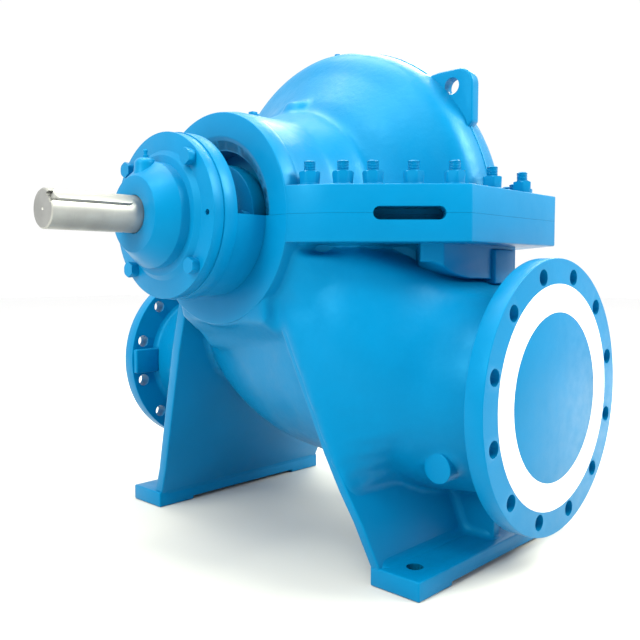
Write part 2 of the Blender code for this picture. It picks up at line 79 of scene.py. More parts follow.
# Widths of rounded edges, and the turn below which an edge stays
SPLIT_EDGE = 0.0022
SKIRT_ROUND = 0.0028
BLOCK_EDGE = 0.004
CAST_EDGE = 0.003
LUG_EDGE = 0.0035
RIM_EDGE = 0.0018
TURNED_EDGE = 0.0015
COVER_EDGE = 0.0007
FINE_EDGE = 0.0006
FLAT = radians(28)

# The cast skin lies this far under the crisp faces, and its ends this far inside theirs
SKIN_DROP = 0.0006
SKIN_INSET = 0.003
UPPER_VOXEL = 0.0045
UPPER_ROUNDS = 8
LOWER_VOXEL = 0.0055
LOWER_ROUNDS = 9

# Split flange and casing ends
SPLIT_THICKNESS = 0.0454
SPLIT_OUTLINE = ((0.3225, 0.192), (0.293, 0.25), (0.14, 0.412))
SLOT_LENGTH = 0.115
SLOT_HEIGHT = 0.0215
SLOT_DEPTH = 0.045
SLOT_OFFSET = 0.0138
APRON_INSET = 0.024
CASING_END = 0.3235
CASING_END_RADIUS = 0.185
NECK_START = 0.3
NECK_RADIUS = 0.189
RING_BORE = 0.144
RING_STEP_BORE = 0.1205
RING_STEP_DEPTH = 0.0135
RIM_REACH = 0.01
RIM_SINK = 0.0004
RIM_BACK = 0.02
RING_SLOPE = (RING_BORE - RING_STEP_BORE) / RING_STEP_DEPTH
LOWER_BORE = 0.118
UPPER_MOUTH = ((CASING_END + OVERCUT, RING_BORE + OVERCUT * RING_SLOPE),
               (CASING_END - RING_STEP_DEPTH, RING_STEP_BORE))
LOWER_MOUTH = ((CASING_END + OVERCUT, LOWER_BORE),)
STUFFING_WALL = 0.262
SHAFT_BORE = 0.0485

# Dome: half section, and its volute
DOME_RADIUS = 0.3415
SHOULDER = ((0.205, 0.189), (0.156, 0.209), (0.14, 0.212))
DOME_FLANK = ((0.122, 0.2365), (0.11, 0.25), (0.096, 0.268), (0.08, 0.2895),
              (0.068, 0.3095), (0.06, 0.3215))
CREST = ((0.05, 0.3315), (0.035, 0.3375), (0.02, 0.3405))
VOLUTE_GROWTH = 0.0165
VOLUTE_SHRINK = 0.03
VOLUTE_START = 0.205
VOLUTE_FULL = 0.25
SEAM_HALF_WIDTH = 0.004
SEAM_HEIGHT = 0.0015
SEAM_FLARE = 0.001
SEAM_ROOT = 0.01

# Boss on each neck, as (height, radius)
PORT_BOSS = ((0.78, 0.0), (0.78, 0.052), (0.8325, 0.026), (0.8325, 0.0))
PORT_BOSS_X = 0.122
PORT_BOSS_Y = -0.012

# Lower body along Y: position, radius, height of the centre
BODY_SECTIONS = ((-0.4577, 0.166, 0.3), (-0.42, 0.171, 0.301), (-0.385, 0.182, 0.305),
                 (-0.345, 0.2, 0.318), (-0.3, 0.238, 0.352), (-0.25, 0.268, 0.384),
                 (-0.2, 0.281, 0.402), (-0.12, 0.277, 0.406), (-0.06, 0.266, 0.406),
                 (0.0, 0.26, 0.406), (0.05, 0.25, 0.4075), (0.1, 0.238, 0.414),
                 (0.14, 0.228, 0.425), (0.175, 0.212, 0.437), (0.205, 0.188, 0.446),
                 (0.232, 0.15, 0.452), (0.248, 0.105, 0.455))
DUCT_START = 0.02
DUCT_END = 0.4597
DUCT_RADIUS = 0.137
DUCT_IN_WEB = 0.01

# Skirt under the split flange: quarter outlines, lower edge as (x, height), pillar corners
SKIRT_OUTLINE = ((0.3, 0.12), (0.235, 0.215), (0.14, 0.3205), (0.118, 0.345))
SKIRT_SIDE_BOTTOM = 0.5305
SKIRT_EDGE = ((-0.129, 0.5237), (-0.109, 0.512), (-0.085, 0.504), (-0.06, 0.499),
              (-0.035, 0.496), (-0.012, 0.496), (0.024, 0.495), (0.056, 0.4875),
              (0.129, 0.4845))
SKIRT_CORE_BOTTOM = SKIRT_SIDE_BOTTOM + 0.01
SKIRT_CORE = ((0.28, 0.105), (0.195, 0.16), (0.105, 0.262), (0.1, 0.33))
SKIRT_PILLAR = ((0.033, -0.352, 0.486), (0.1005, -0.32, 0.549))
NOTCH_START = -0.04
NOTCH_END = 0.775
NOTCH_OUT = 0.03
NOTCH_DEPTH = 0.06

# Top of the suction horn, as (y, height)
HORN_CAP = ((-0.4577, 0.474), (-0.4, 0.474), (-0.36, 0.478), (-0.335, 0.489),
            (-0.317, 0.501), (-0.3, 0.513), (-0.276, 0.527), (-0.25, 0.541),
            (-0.22, 0.556), (-0.12, 0.62))
CAP_ROUND = 0.012

# Corner between the horn and its leg: FLARE is (height, distance from the shaft)
FLARE = ((0.45, 0.1405), (0.489, 0.164), (0.519, 0.178), (0.537, 0.188))
FLARE_X = 0.296
FILLET_LOW = 0.15
FILLET_LEVELS = 12
FILLET_RISE = 4
FILLET_LAP = 0.003
FILLET_ROOT = 0.018
FILLET_REACH = 0.1
FILLET_STEP = 0.004
FILLET_INWARD = 0.05
FILLET_BEHIND = 0.02

# Saddle and collar under each casing end
SADDLE_SIDES = (-0.128, 0.105)
SADDLE_OUTLINE = ((0.18, 0.5), (0.18, 0.36), (0.252, 0.36), (0.278, 0.39),
                  (0.32, 0.424), (0.32, 0.5))
COLLAR_START = 0.285
COLLAR_RADIUS = 0.19
COLLAR_HALF_WIDTH = 0.112

# Legs: each web is its thickness and its edge as (half width, height)
FOOT_HALF_LENGTH = 0.2445
FOOT_PAD_END = 0.155
FOOT_OUTER = 0.392
FOOT_INNER = 0.294
FOOT_TOP = 0.032
FOOT_RELIEF = 0.0075
FOOT_HOLE_X = 0.196
FOOT_HOLE_Y = 0.348
FOOT_HOLE_RADIUS = 0.014
WEB_LEAN = 0.4107
WEB_BASE = 0.03
SUCTION_WEB = (0.02, ((0.2425, 0.02), (0.254, 0.1), (0.266, 0.15), (0.276, 0.21),
                       (0.288, 0.33), (0.2975, 0.47)))
DISCHARGE_WEB = (0.0245, ((0.239, 0.02), (0.245, 0.087), (0.256, 0.158), (0.269, 0.245),
                          (0.278, 0.305), (0.2855, 0.354), (0.2975, 0.47)))
RIB_START = 0.004
RIB_END = 0.024
RIB_REACH = 0.374
RIB_TOP = 0.2
RIB_IN_WEB = 0.005

DRAIN_X = 0.165
DRAIN_Y = -0.3675
DRAIN_Z = 0.19
DRAIN_RADIUS = 0.0255
DRAIN_LENGTH = 0.08

# Pipe flanges, and their covers as radii of the disc, the ring's inside and its outside
FLANGE_FACE = 0.49
SUCTION_THICKNESS = 0.032
DISCHARGE_THICKNESS = 0.03
SUCTION_BOLT_CIRCLE = 0.205
DISCHARGE_BOLT_CIRCLE = 0.1775
FLANGE_BOLTS = 12
FLANGE_HOLE_RADIUS = 0.0135
CORE_BELOW_FACE = 0.012
CORE_INSET = 0.045
SUCTION_COVER = (0.1409, 0.1415, 0.188)
DISCHARGE_COVER = (0.1174, 0.118, 0.158)
COVER_THICKNESS = 0.0025
COVER_PROUD = 0.0006
TAPPING_HALF_HEIGHT = 0.028
TAPPING_DEPTH = 0.012
TAPPING_LAP = 0.004

# Bearing bracket and cover
BRACKET_FACE = 0.4125
BRACKET_BACK = 0.387
BRACKET_RADIUS = 0.1395
BARREL_RADIUS = 0.1345
BARREL_TAPER = 0.002
BARREL_IN_SEAT = 0.006
SEAL_GAP = 0.0055
COVER_BACK = 0.4128
COVER_FACE = 0.433
COVER_RADIUS = 0.1375
COVER_PAD_FACE = 0.4405
COVER_PAD_RADIUS = 0.103
COVER_PAD_SLOPE = 0.004
COVER_HUB_RADIUS = 0.087
COVER_HUB_FACE = 0.457
NOSE_FACE = 0.488
NOSE_RADIUS = 0.0615
NOSE_GAP = 0.0008
COVER_BOLT_CIRCLE = 0.121
COVER_BOLT_TURN = radians(2.0)
COVER_BOLT = (0.024, 0.0145)
COVER_BOSS_X = 0.4635
COVER_BOSS_RADIUS = 0.018
COVER_BOSS_FOOT = 0.023
COVER_BOSS_ROOT = 0.052
COVER_BOSS_TOP = 0.0915
COVER_BOSS_CHAMFER = 0.006
BOSS_STEPS = 6
JACK_HOLE_RADIUS = 0.0048
JACK_HOLE_DEPTH = 0.012

GLAND_FACE = 0.316
GLAND_BACK = 0.286
GLAND_RADIUS = 0.0965
GLAND_NOZZLE = 0.066
GLAND_STUD_Y = 0.078
GLAND_STUD = (0.026, 0.006)
GLAND_NUT = (0.019, 0.012)
SLEEVE_RADIUS = 0.043
SLEEVE_OUTER_END = 0.366
SLEEVE_INNER_END = 0.215

SHAFT_CHAMFER = 0.002
CENTRE_HOLE = (0.004, 0.0028)
KEY_WIDTH = 0.018
KEY_LENGTH = 0.132
KEY_TOP = 0.034
KEY_SEAT = 0.023
KEY_INSET = 0.004
KEY_TURN = 0.907

# Lifting lugs: LUG_TIP is (inwards, down) from the outer top corner, LUG_ROOT lies in the dome
LUG_THICKNESS = 0.022
LUG_OUTER = 0.328
LUG_TOP = 0.268
LUG_CORNER = 0.03
LUG_HEEL = 0.172
LUG_TIP = ((0.102, 0.004), (0.072, 0.0))
LUG_ROOT = ((0.27, 0.115), (0.18, 0.2))
LUG_STEPS = 16
LUG_HOLE_Y = 0.285
LUG_HOLE_Z = 0.239
LUG_HOLE_RADIUS = 0.015
LUG_RAMP = 0.022
LUG_RAMP_RISE = (-0.06, -0.01, 0.004)
LUG_RAMP_ANGLES = (radians(41.0), radians(61.0))

# Studs of the split flange on one side; the other side mirrors them
STUDS = ((-0.289, 0.202), (-0.257, 0.245), (-0.224, 0.28), (-0.179, 0.327), (-0.134, 0.375),
         (-0.032, 0.382), (0.07, 0.382), (0.179, 0.327), (0.224, 0.28), (0.257, 0.245),
         (0.289, 0.202))
NUT_FLATS = 0.03
NUT_HEIGHT = 0.019
WASHER_HEIGHT = 0.0036
WASHER_RADIUS = 0.017
STUD_RADIUS = 0.0095
STUD_REACH = 0.017
THREAD_PITCH = 0.0025
THREAD_DEPTH = 0.0011

# Plugs as (radius, height, sides), and a grease nipple as (height, radius)
VENT_PLUG = (0.0065, 0.0113, 6)
NECK_PLUG = (0.0085, 0.013, 4)
NECK_PLUG_X = 0.231
PLUG_SINK = 0.001
NIPPLE = ((0.0, 0.0), (0.0, 0.0052), (0.005, 0.0052), (0.006, 0.0034), (0.01, 0.0034),
          (0.0125, 0.0042), (0.015, 0.0026), (0.0152, 0.0))
NIPPLE_SINK = 0.0005

PAINT = (0.0, 0.155, 0.362)
PAINT_SHEEN = (0.08, 0.52, 0.9, 1)
WHITE = (0.86, 0.87, 0.9)
STEEL = (0.34, 0.345, 0.345)
LAMP_LIGHT = (1.0, 1.0, 0.82)

# Square lamps: name, place, size, power
LAMPS = (("left", (-3.0, -0.1, 2.0), 1.4, 80),
         ("crest", (-1.6, -0.2, 3.1), 0.9, 45),
         ("top", (0.0, 0.6, 3.2), 1.6, 60),
         ("right", (1.4, -2.6, 2.9), 1.5, 200),
         ("back", (2.4, 1.0, 2.6), 1.5, 75))
LAMP_TARGET_Z = 0.45

# The photo's camera: its place, its turn from +Y towards +X, its pitch and its lens in mm
CAMERA_PLACE = (-1.1624, -1.0546, 0.5055)
CAMERA_YAW = radians(46.468)
CAMERA_PITCH = radians(-3.571)
CAMERA_LENS = 42.27


# Materials

def link(tree, source, target):
    tree.links.new(source, target)


def new_node(tree, kind, **numbers):
    """Add a node and set its inputs, whose names are written with _ for a space."""
    node = tree.nodes.new("ShaderNode" + kind)
    for name, number in numbers.items():
        node.inputs[name.replace("_", " ")].default_value = number
    return node


def noise(tree, vector, scale, detail=2.0):
    node = new_node(tree, "TexNoise", Scale=scale, Detail=detail)
    link(tree, vector, node.inputs["Vector"])
    return node.outputs["Fac"]


def spread(tree, value, low, high, start=0.3, end=0.7):
    """Map a value between start and end to a range."""
    node = new_node(tree, "MapRange", From_Min=start, From_Max=end, To_Min=low, To_Max=high)
    link(tree, value, node.inputs["Value"])
    return node.outputs["Result"]


def bumped(tree, height, distance, before=None):
    node = new_node(tree, "Bump", Distance=distance, Strength=1.0)
    link(tree, height, node.inputs["Height"])
    if before:
        link(tree, before, node.inputs["Normal"])
    return node.outputs["Normal"]


def new_material(name, metallic=0.0):
    material = bpy.data.materials.new(name)
    material.use_nodes = True
    tree = material.node_tree
    shader = tree.nodes["Principled BSDF"]
    shader.inputs["Metallic"].default_value = metallic
    place = new_node(tree, "TexCoord").outputs["Object"]
    return material, tree, shader, place


def tinted(tree, place, shader, colour, scale, change):
    """Vary a colour a little over the surface."""
    mix = new_node(tree, "Mix")
    mix.data_type = "RGBA"
    mix.inputs["A"].default_value = (*[c * (1 - change) for c in colour], 1)
    mix.inputs["B"].default_value = (*[min(c * (1 + change), 1) for c in colour], 1)
    link(tree, spread(tree, noise(tree, place, scale, 4.0), 0, 1), mix.inputs["Factor"])
    link(tree, mix.outputs["Result"], shader.inputs["Base Color"])


def paint(name, grain, stipple):
    """Semi-gloss blue paint: grain is the orange peel, stipple the cast skin under it."""
    material, tree, shader, place = new_material(name)
    tinted(tree, place, shader, PAINT, 9.0, 0.05)
    link(tree, spread(tree, noise(tree, place, 45.0), 0.33, 0.43), shader.inputs["Roughness"])
    shader.inputs["Specular IOR Level"].default_value = 0.42
    shader.inputs["Specular Tint"].default_value = PAINT_SHEEN
    peel = bumped(tree, noise(tree, place, 420.0, 3.0), grain)
    skin = bumped(tree, noise(tree, place, 110.0, 3.0), stipple, before=peel)
    link(tree, skin, shader.inputs["Normal"])
    return material


def turned_steel(name, along):
    """Bright steel with fine tool marks round the shaft; along is the marks' frequency."""
    material, tree, shader, place = new_material(name, 1.0)
    stretch = new_node(tree, "Mapping", Scale=(along, 8.0, 8.0))
    link(tree, place, stretch.inputs["Vector"])
    marks = noise(tree, stretch.outputs["Vector"], 1.0, 3.0)
    tinted(tree, place, shader, STEEL, 30.0, 0.10)
    link(tree, spread(tree, marks, 0.42, 0.56), shader.inputs["Roughness"])
    link(tree, bumped(tree, marks, 0.00006), shader.inputs["Normal"])
    return material


def satin_white(name):
    material, tree, shader, place = new_material(name)
    tinted(tree, place, shader, WHITE, 14.0, 0.02)
    link(tree, spread(tree, noise(tree, place, 60.0), 0.42, 0.55), shader.inputs["Roughness"])
    link(tree, bumped(tree, noise(tree, place, 300.0), 0.00003), shader.inputs["Normal"])
    return material


# Modelling helpers

def finish(name, bm, material, stands_for=(), body="casing"):
    """Put a finished mesh into the frame as a piece that rides on a body."""
    bmesh.ops.remove_doubles(bm, verts=bm.verts, dist=1e-6)
    bmesh.ops.recalc_face_normals(bm, faces=bm.faces)
    bmesh.ops.translate(bm, verts=bm.verts, vec=(CENTRE_X, 0, 0))
    mesh = bpy.data.meshes.new(name)
    bm.to_mesh(mesh)
    bm.free()
    mesh.shade_smooth()
    mesh.set_sharp_from_angle(angle=radians(32))
    mesh.materials.append(material)
    piece = bpy.data.objects.new(name, mesh)
    bpy.context.scene.collection.objects.link(piece)
    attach(piece, body)
    if stands_for:
        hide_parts(*stands_for)


def evaluated(bm, kind, tool=None, **settings):
    """Run one modifier on a bmesh and return the result as a new bmesh."""
    made = []
    for solid in [bm] if tool is None else [bm, tool]:
        mesh = bpy.data.meshes.new("work")
        bmesh.ops.recalc_face_normals(solid, faces=solid.faces)
        solid.to_mesh(mesh)
        solid.free()
        thing = bpy.data.objects.new("work", mesh)
        bpy.context.scene.collection.objects.link(thing)
        made.append(thing)
    modifier = made[0].modifiers.new(kind, kind)
    for key, value in settings.items():
        setattr(modifier, key, value)
    if tool is not None:
        modifier.object = made[1]
    bpy.context.view_layer.update()
    shaped = made[0].evaluated_get(bpy.context.evaluated_depsgraph_get())
    result = bmesh.new()
    result.from_mesh(shaped.data)
    for thing in made:
        mesh = thing.data
        bpy.data.objects.remove(thing)
        bpy.data.meshes.remove(mesh)
    return result


def cut(bm, tool, operation="DIFFERENCE"):
    return evaluated(bm, "BOOLEAN", tool, operation=operation, solver="EXACT")


def gathered(solids):
    """Put several bmeshes into one."""
    bm = bmesh.new()
    for solid in solids:
        mesh = bpy.data.meshes.new("work")
        solid.to_mesh(mesh)
        solid.free()
        bm.from_mesh(mesh)
        bpy.data.meshes.remove(mesh)
    return bm


def softened(bm, width, segments=2, limit=FLAT, level=None):
    """Bevel the edges sharper than limit, except those that lie level at a given height."""
    sharp = [edge for edge in bm.edges if edge.is_manifold and edge.calc_face_angle() > limit]
    if level is not None:
        sharp = [edge for edge in sharp
                 if any(abs(vert.co.z - level) > 1e-5 for vert in edge.verts)]
    bmesh.ops.bevel(bm, geom=sharp, offset=width, segments=segments, profile=0.5, affect="EDGES",
                    material=-1, clamp_overlap=True)
    return bm


def turned(profile, segments=ROUND, closed=False, axis="X", centre=(0.0, SHAFT_Z)):
    """Spin a profile of (distance along the axis, radius) round a level axis.

    centre is the axis's place: (y, z) for an X axis and (x, z) for a Y axis.
    """
    bm = bmesh.new()
    verts = [bm.verts.new((along, 0.0, radius)) for along, radius in profile]
    pairs = list(zip(verts, verts[1:]))
    if closed:
        pairs.append((verts[-1], verts[0]))
    for pair in pairs:
        bm.edges.new(pair)
    bmesh.ops.spin(bm, geom=bm.verts[:] + bm.edges[:], cent=(0, 0, 0), axis=(1, 0, 0), angle=2 * pi,
                   steps=segments, use_merge=True)
    bmesh.ops.remove_doubles(bm, verts=bm.verts, dist=1e-6)
    if axis == "Y":
        bmesh.ops.rotate(bm, verts=bm.verts, cent=(0, 0, 0), matrix=Matrix.Rotation(pi / 2, 3, "Z"))
        bmesh.ops.translate(bm, verts=bm.verts, vec=(centre[0], 0.0, centre[1]))
    else:
        bmesh.ops.translate(bm, verts=bm.verts, vec=(0.0, *centre))
    bmesh.ops.recalc_face_normals(bm, faces=bm.faces)
    return bm


def rod(start, end, radius, segments=ROUND, **where):
    return turned([(start, 0.0), (start, radius), (end, radius), (end, 0.0)], segments, **where)


def lathed(side, profile, closed=True):
    """Turn a profile on the shaft's axis, with its distances measured towards one end."""
    return turned([(side * x, r) for x, r in profile], closed=closed)


def upright(profile, segments, x, y, z):
    """A turned part of (height, radius) that stands on a point."""
    bm = turned(profile, segments, **AT_ORIGIN)
    bmesh.ops.rotate(bm, verts=bm.verts, cent=(0, 0, 0), matrix=Matrix.Rotation(-pi / 2, 3, "Y"))
    bmesh.ops.translate(bm, verts=bm.verts, vec=(x, y, z))
    return bm


def prism(points, depth):
    """Extrude a closed outline of 3D points along a vector."""
    bm = bmesh.new()
    face = bm.faces.new([bm.verts.new(point) for point in points])
    moved = bmesh.ops.extrude_face_region(bm, geom=[face])["geom"]
    moved = [item for item in moved if isinstance(item, bmesh.types.BMVert)]
    bmesh.ops.translate(bm, verts=moved, vec=depth)
    bmesh.ops.recalc_face_normals(bm, faces=bm.faces)
    return bm


def block(low, high):
    (x0, y0, z0), (x1, y1, z1) = low, high
    return plate([(x0, y0), (x1, y0), (x1, y1), (x0, y1)], z0, z1)


def circle(radius, steps, turn=0.0):
    angles = [turn + 2 * pi * step / steps for step in range(steps)]
    return [(radius * cos(angle), radius * sin(angle)) for angle in angles]


def mirrored_outline(quarter, inset=0.0):
    """Close a quarter outline over both centre planes, drawn in by an inset."""
    forward = [(x - inset, y - inset) for x, y in quarter]
    backward = list(reversed(forward))
    return ([(x, -y) for x, y in backward] + forward
            + [(-x, y) for x, y in backward] + [(-x, -y) for x, y in forward])


def plate(outline, bottom, top):
    return prism([(x, y, bottom) for x, y in outline], (0, 0, top - bottom))


def fused(solids, voxel, rounds):
    """Fuse closed solids into one skin, and round its corners like those of a sand casting."""
    bm = evaluated(gathered(solids), "REMESH", mode="VOXEL", voxel_size=voxel)
    for _ in range(rounds):
        bmesh.ops.smooth_vert(bm, verts=bm.verts, factor=0.5, use_axis_x=True, use_axis_y=True,
                              use_axis_z=True)
    return bm


def sliced(bm, point, normal, keep_front=False):
    """Cut a solid at a plane, keep what lies behind it or in front of it, and close the cut."""
    bmesh.ops.bisect_plane(bm, geom=bm.verts[:] + bm.edges[:] + bm.faces[:], plane_co=point,
                           plane_no=normal, clear_outer=not keep_front, clear_inner=keep_front)
    bmesh.ops.holes_fill(bm, edges=[edge for edge in bm.edges if edge.is_boundary])
    return bm


def halved(bm, height, keep_above):
    """Cut a solid level and close the cut."""
    return sliced(bm, (0, 0, height), (0, 0, 1), keep_above)


# Castings

def volute(bm):
    """Draw a turned dome out to its volute: its radius grows towards the suction side."""
    for vert in bm.verts:
        across, up = vert.co.y, vert.co.z - SHAFT_Z
        radius = hypot(across, up)
        angle = atan2(-across, abs(up))
        share = min(max((radius - VOLUTE_START) / (VOLUTE_FULL - VOLUTE_START), 0.0), 1.0)
        stretch = share * angle * (VOLUTE_GROWTH if angle > 0 else VOLUTE_SHRINK)
        if radius > 0:
            vert.co.y += stretch * across / radius
            vert.co.z += stretch * up / radius
    return bm


def both_ends(half):
    """Turn a half profile, given from its end inwards, together with its mirror image."""
    end = half[0][0]
    return turned([(-end, 0.0)] + [(-x, r) for x, r in half]
                  + [(x, r) for x, r in reversed(half) if x] + [(end, 0.0)])


def dome():
    end = (CASING_END - 0.004, CASING_END_RADIUS - 0.003)
    return volute(both_ends([end, (NECK_START, NECK_RADIUS), *SHOULDER, *DOME_FLANK, *CREST,
                             (0.0, DOME_RADIUS)]))


def necks():
    return both_ends([(CASING_END - GAP, CASING_END_RADIUS - 0.001),
                      (NECK_START, NECK_RADIUS - SKIN_DROP)])


def bores(mouth):
    """Both open casing ends and the shaft's bore, as one solid to take away."""
    return both_ends([*mouth, (STUFFING_WALL, mouth[-1][1]), (STUFFING_WALL, SHAFT_BORE)])


def slot(side_x, side_y):
    """The slot with round ends in one slanted edge of the split flange."""
    (x0, y0), (x1, y1) = SPLIT_OUTLINE[1], SPLIT_OUTLINE[2]
    length = hypot(x1 - x0, y1 - y0)
    along = Vector(((x1 - x0) / length, (y1 - y0) / length, 0))
    out = Vector((abs(along.y), abs(along.x), 0))
    middle = Vector(((x0 + x1) / 2, (y0 + y1) / 2, SHAFT_Z)) + along * SLOT_OFFSET
    half = (SLOT_LENGTH - SLOT_HEIGHT) / 2
    points = []
    for end in (1, -1):
        for step in range(HALF_ROUND + 1):
            angle = pi / 2 - pi * step / HALF_ROUND
            local = along * end * (half + SLOT_HEIGHT / 2 * cos(angle))
            local.z = end * SLOT_HEIGHT / 2 * sin(angle)
            points.append(middle + local - out * SLOT_DEPTH)
    mirror = Matrix.Diagonal((side_x, side_y, 1))
    return prism([mirror @ point for point in points], mirror @ (out * (SLOT_DEPTH + OVERCUT)))


def openings(mouth):
    slots = [slot(side_x, side_y) for side_x in (-1, 1) for side_y in (-1, 1)]
    return gathered([bores(mouth)] + slots)


def dome_seam(material):
    """The thin raised seam round the dome's crest."""
    foot, crest = DOME_RADIUS - SEAM_ROOT, DOME_RADIUS + SEAM_HEIGHT
    ring = [(-SEAM_HALF_WIDTH - SEAM_FLARE, foot), (-SEAM_HALF_WIDTH, crest),
            (SEAM_HALF_WIDTH, crest), (SEAM_HALF_WIDTH + SEAM_FLARE, foot)]
    bm = softened(volute(turned(ring, FINE_ROUND, closed=True)), 0.001, 2, radians(50))
    finish("dome_seam", halved(bm, SHAFT_Z + SPLIT_THICKNESS - LAP, keep_above=True), material)


def lug_fillet(side):
    """The ramp between the dome and the drive face of a lug."""
    face = -LUG_THICKNESS / 2
    deep, low, high = (DOME_RADIUS + rise for rise in LUG_RAMP_RISE)
    ring = [(face - LUG_RAMP, deep), (face - LUG_RAMP, low), (face, high), (0.0, high), (0.0, deep)]
    bm = volute(turned(ring, FINE_ROUND, closed=True))
    for angle, outer in zip(LUG_RAMP_ANGLES, (-1, 1)):
        sliced(bm, (0, 0, SHAFT_Z), Vector((0, side * cos(angle), -sin(angle))) * outer)
    return halved(bm, SHAFT_Z + SPLIT_THICKNESS, keep_above=True)


def port_boss(side):
    """The conical boss on top of a neck, against the dome."""
    cone = [(z - SHAFT_Z, radius) for z, radius in PORT_BOSS]
    return upright(cone, 48, side * PORT_BOSS_X, PORT_BOSS_Y, SHAFT_Z)


def upper_casting(material):
    top = SHAFT_Z + SPLIT_THICKNESS - SKIN_DROP
    solids = [dome(), plate(mirrored_outline(SPLIT_OUTLINE, APRON_INSET), SHAFT_Z - OVERCUT, top)]
    solids += [port_boss(side) for side in (-1, 1)] + [lug_fillet(side) for side in (-1, 1)]
    bm = halved(fused(solids, UPPER_VOXEL, UPPER_ROUNDS), SHAFT_Z + GAP / 2, keep_above=True)
    finish("upper_casting", cut(bm, openings(UPPER_MOUTH)), material, ["upper_casing"])


def split_flange(name, material, low, high, split, mouth):
    """One crisp half of the split flange. Its edges at the split stay sharp."""
    bm = softened(plate(mirrored_outline(SPLIT_OUTLINE), low, high), SPLIT_EDGE, 3, level=split)
    finish(name, cut(bm, openings(mouth)), material)


def skirt(material):
    """The crisp wall under the split flange, with a curved lower edge and two pillars."""
    top = SHAFT_Z - SPLIT_THICKNESS + LAP
    low = min(z for x, z in SKIRT_EDGE) - OVERCUT
    bm = plate(mirrored_outline(SKIRT_OUTLINE), low, top)
    below = [(-1, SKIRT_SIDE_BOTTOM), *SKIRT_EDGE, (1, SKIRT_SIDE_BOTTOM),
             (1, low - OVERCUT), (-1, low - OVERCUT)]
    bm = cut(bm, prism([(x, -1, z) for x, z in below], (0, 2, 0)))
    start, end = Vector((*SKIRT_OUTLINE[1], 0)), Vector((*SKIRT_OUTLINE[3], 0))
    out = Vector((end.y - start.y, start.x - end.x, 0)).normalized()
    first, last = start.lerp(end, NOTCH_START), start.lerp(end, NOTCH_END)
    notch = [first + out * NOTCH_OUT, last + out * NOTCH_OUT,
             last - out * NOTCH_DEPTH, first - out * NOTCH_DEPTH]
    for side_x in (-1, 1):
        for side_y in (-1, 1):
            outline = [(side_x * spot.x, side_y * spot.y) for spot in notch]
            bm = cut(bm, plate(outline, low - OVERCUT, top + OVERCUT))
    softened(bm, SKIRT_ROUND, 3, level=top)
    pieces = [bm]
    (x0, y0, z0), (x1, y1, z1) = SKIRT_PILLAR
    for near, far in ((y0, y1), (-y1, -y0)):
        pieces.append(softened(block((x0, near, z0), (x1, far, z1)), BLOCK_EDGE, 3))
    finish("flange_skirt", gathered(pieces), material)


def end_ring(name, material, side, upper):
    """The machined rim of a casing end: one half of a ring."""
    inner_end = NECK_START - RIM_REACH
    profile = [(CASING_END, CASING_END_RADIUS), (NECK_START, NECK_RADIUS),
               (inner_end, NECK_RADIUS - RIM_SINK)]
    if upper:
        profile = [(CASING_END, RING_BORE), *profile, (inner_end, RING_BORE - RIM_BACK),
                   (CASING_END - RING_STEP_DEPTH, RING_STEP_BORE)]
    else:
        profile = [(CASING_END, BARREL_RADIUS - LAP), *profile, (inner_end, BARREL_RADIUS - LAP)]
    bm = softened(lathed(side, profile), RIM_EDGE, 3)
    bm = halved(bm, SHAFT_Z + (GAP if upper else -GAP) / 2, keep_above=upper)
    finish(name, bm, material)


def lower_body():
    """The round body from flange to flange: a disc drawn along Y and resized at each section."""
    bm = bmesh.new()
    stations = smooth_stations(BODY_SECTIONS, 4)
    start = bmesh.ops.create_circle(bm, cap_ends=True, segments=96, radius=1.0,
                                    matrix=Matrix.Rotation(pi / 2, 4, "X"))["verts"]
    y, radius, height = stations[0]
    set_ring(bm, start, y, radius, height)
    rim = bm.edges[:]
    for y, radius, height in stations[1:]:
        moved = bmesh.ops.extrude_edge_only(bm, edges=rim)["geom"]
        ring = [item for item in moved if isinstance(item, bmesh.types.BMVert)]
        rim = [item for item in moved if isinstance(item, bmesh.types.BMEdge)]
        set_ring(bm, ring, y, radius, height)
    bmesh.ops.holes_fill(bm, edges=rim)
    bmesh.ops.recalc_face_normals(bm, faces=bm.faces)
    return capped(bm)


def capped(bm):
    """Press the top of the suction horn down, so that a valley runs under the split flange.

    What is above a level CAP_ROUND below the HORN_CAP line is squeezed in under that line.
    """
    for vert in bm.verts:
        for (y0, z0), (y1, z1) in zip(HORN_CAP, HORN_CAP[1:]):
            if y0 <= vert.co.y < y1:
                over = vert.co.z - (z0 + (z1 - z0) * (vert.co.y - y0) / (y1 - y0) - CAP_ROUND)
                if over > 0:
                    vert.co.z += CAP_ROUND * (1 - exp(-over / CAP_ROUND)) - over
    return bm


def set_ring(bm, ring, y, radius, height):
    """Resize a ring of vertices about its middle and move it to a station."""
    middle = sum((vert.co for vert in ring), Vector()) / len(ring)
    scale = radius / (ring[0].co - middle).length
    bmesh.ops.scale(bm, verts=ring, vec=(scale, 1, scale), space=Matrix.Translation(-middle))
    bmesh.ops.translate(bm, verts=ring, vec=Vector((0, y, height)) - middle)


def smooth_stations(sections, steps):
    """Catmull-Rom curve through the sections."""
    points = [Vector(section) for section in sections]
    padded = [points[0] * 2 - points[1], *points, points[-1] * 2 - points[-2]]
    stations = []
    for k in range(len(points) - 1):
        a, b, c, d = padded[k:k + 4]
        for step in range(steps):
            t = step / steps
            stations.append((a * (-t + 2 * t ** 2 - t ** 3) + b * (2 - 5 * t ** 2 + 3 * t ** 3)
                             + c * (t + 4 * t ** 2 - 3 * t ** 3) + d * (t ** 3 - t ** 2)) / 2)
    stations.append(points[-1])
    return stations


def body_edge(y, z):
    """Half width of the round body at a height, or 0 outside it."""
    for (y0, r0, h0), (y1, r1, h1) in zip(BODY_SECTIONS, BODY_SECTIONS[1:]):
        if y0 <= y <= y1:
            share = (y - y0) / (y1 - y0)
            radius, height = r0 + share * (r1 - r0), h0 + share * (h1 - h0)
            return sqrt(max(radius ** 2 - (z - height) ** 2, 0.0))
    return 0.0


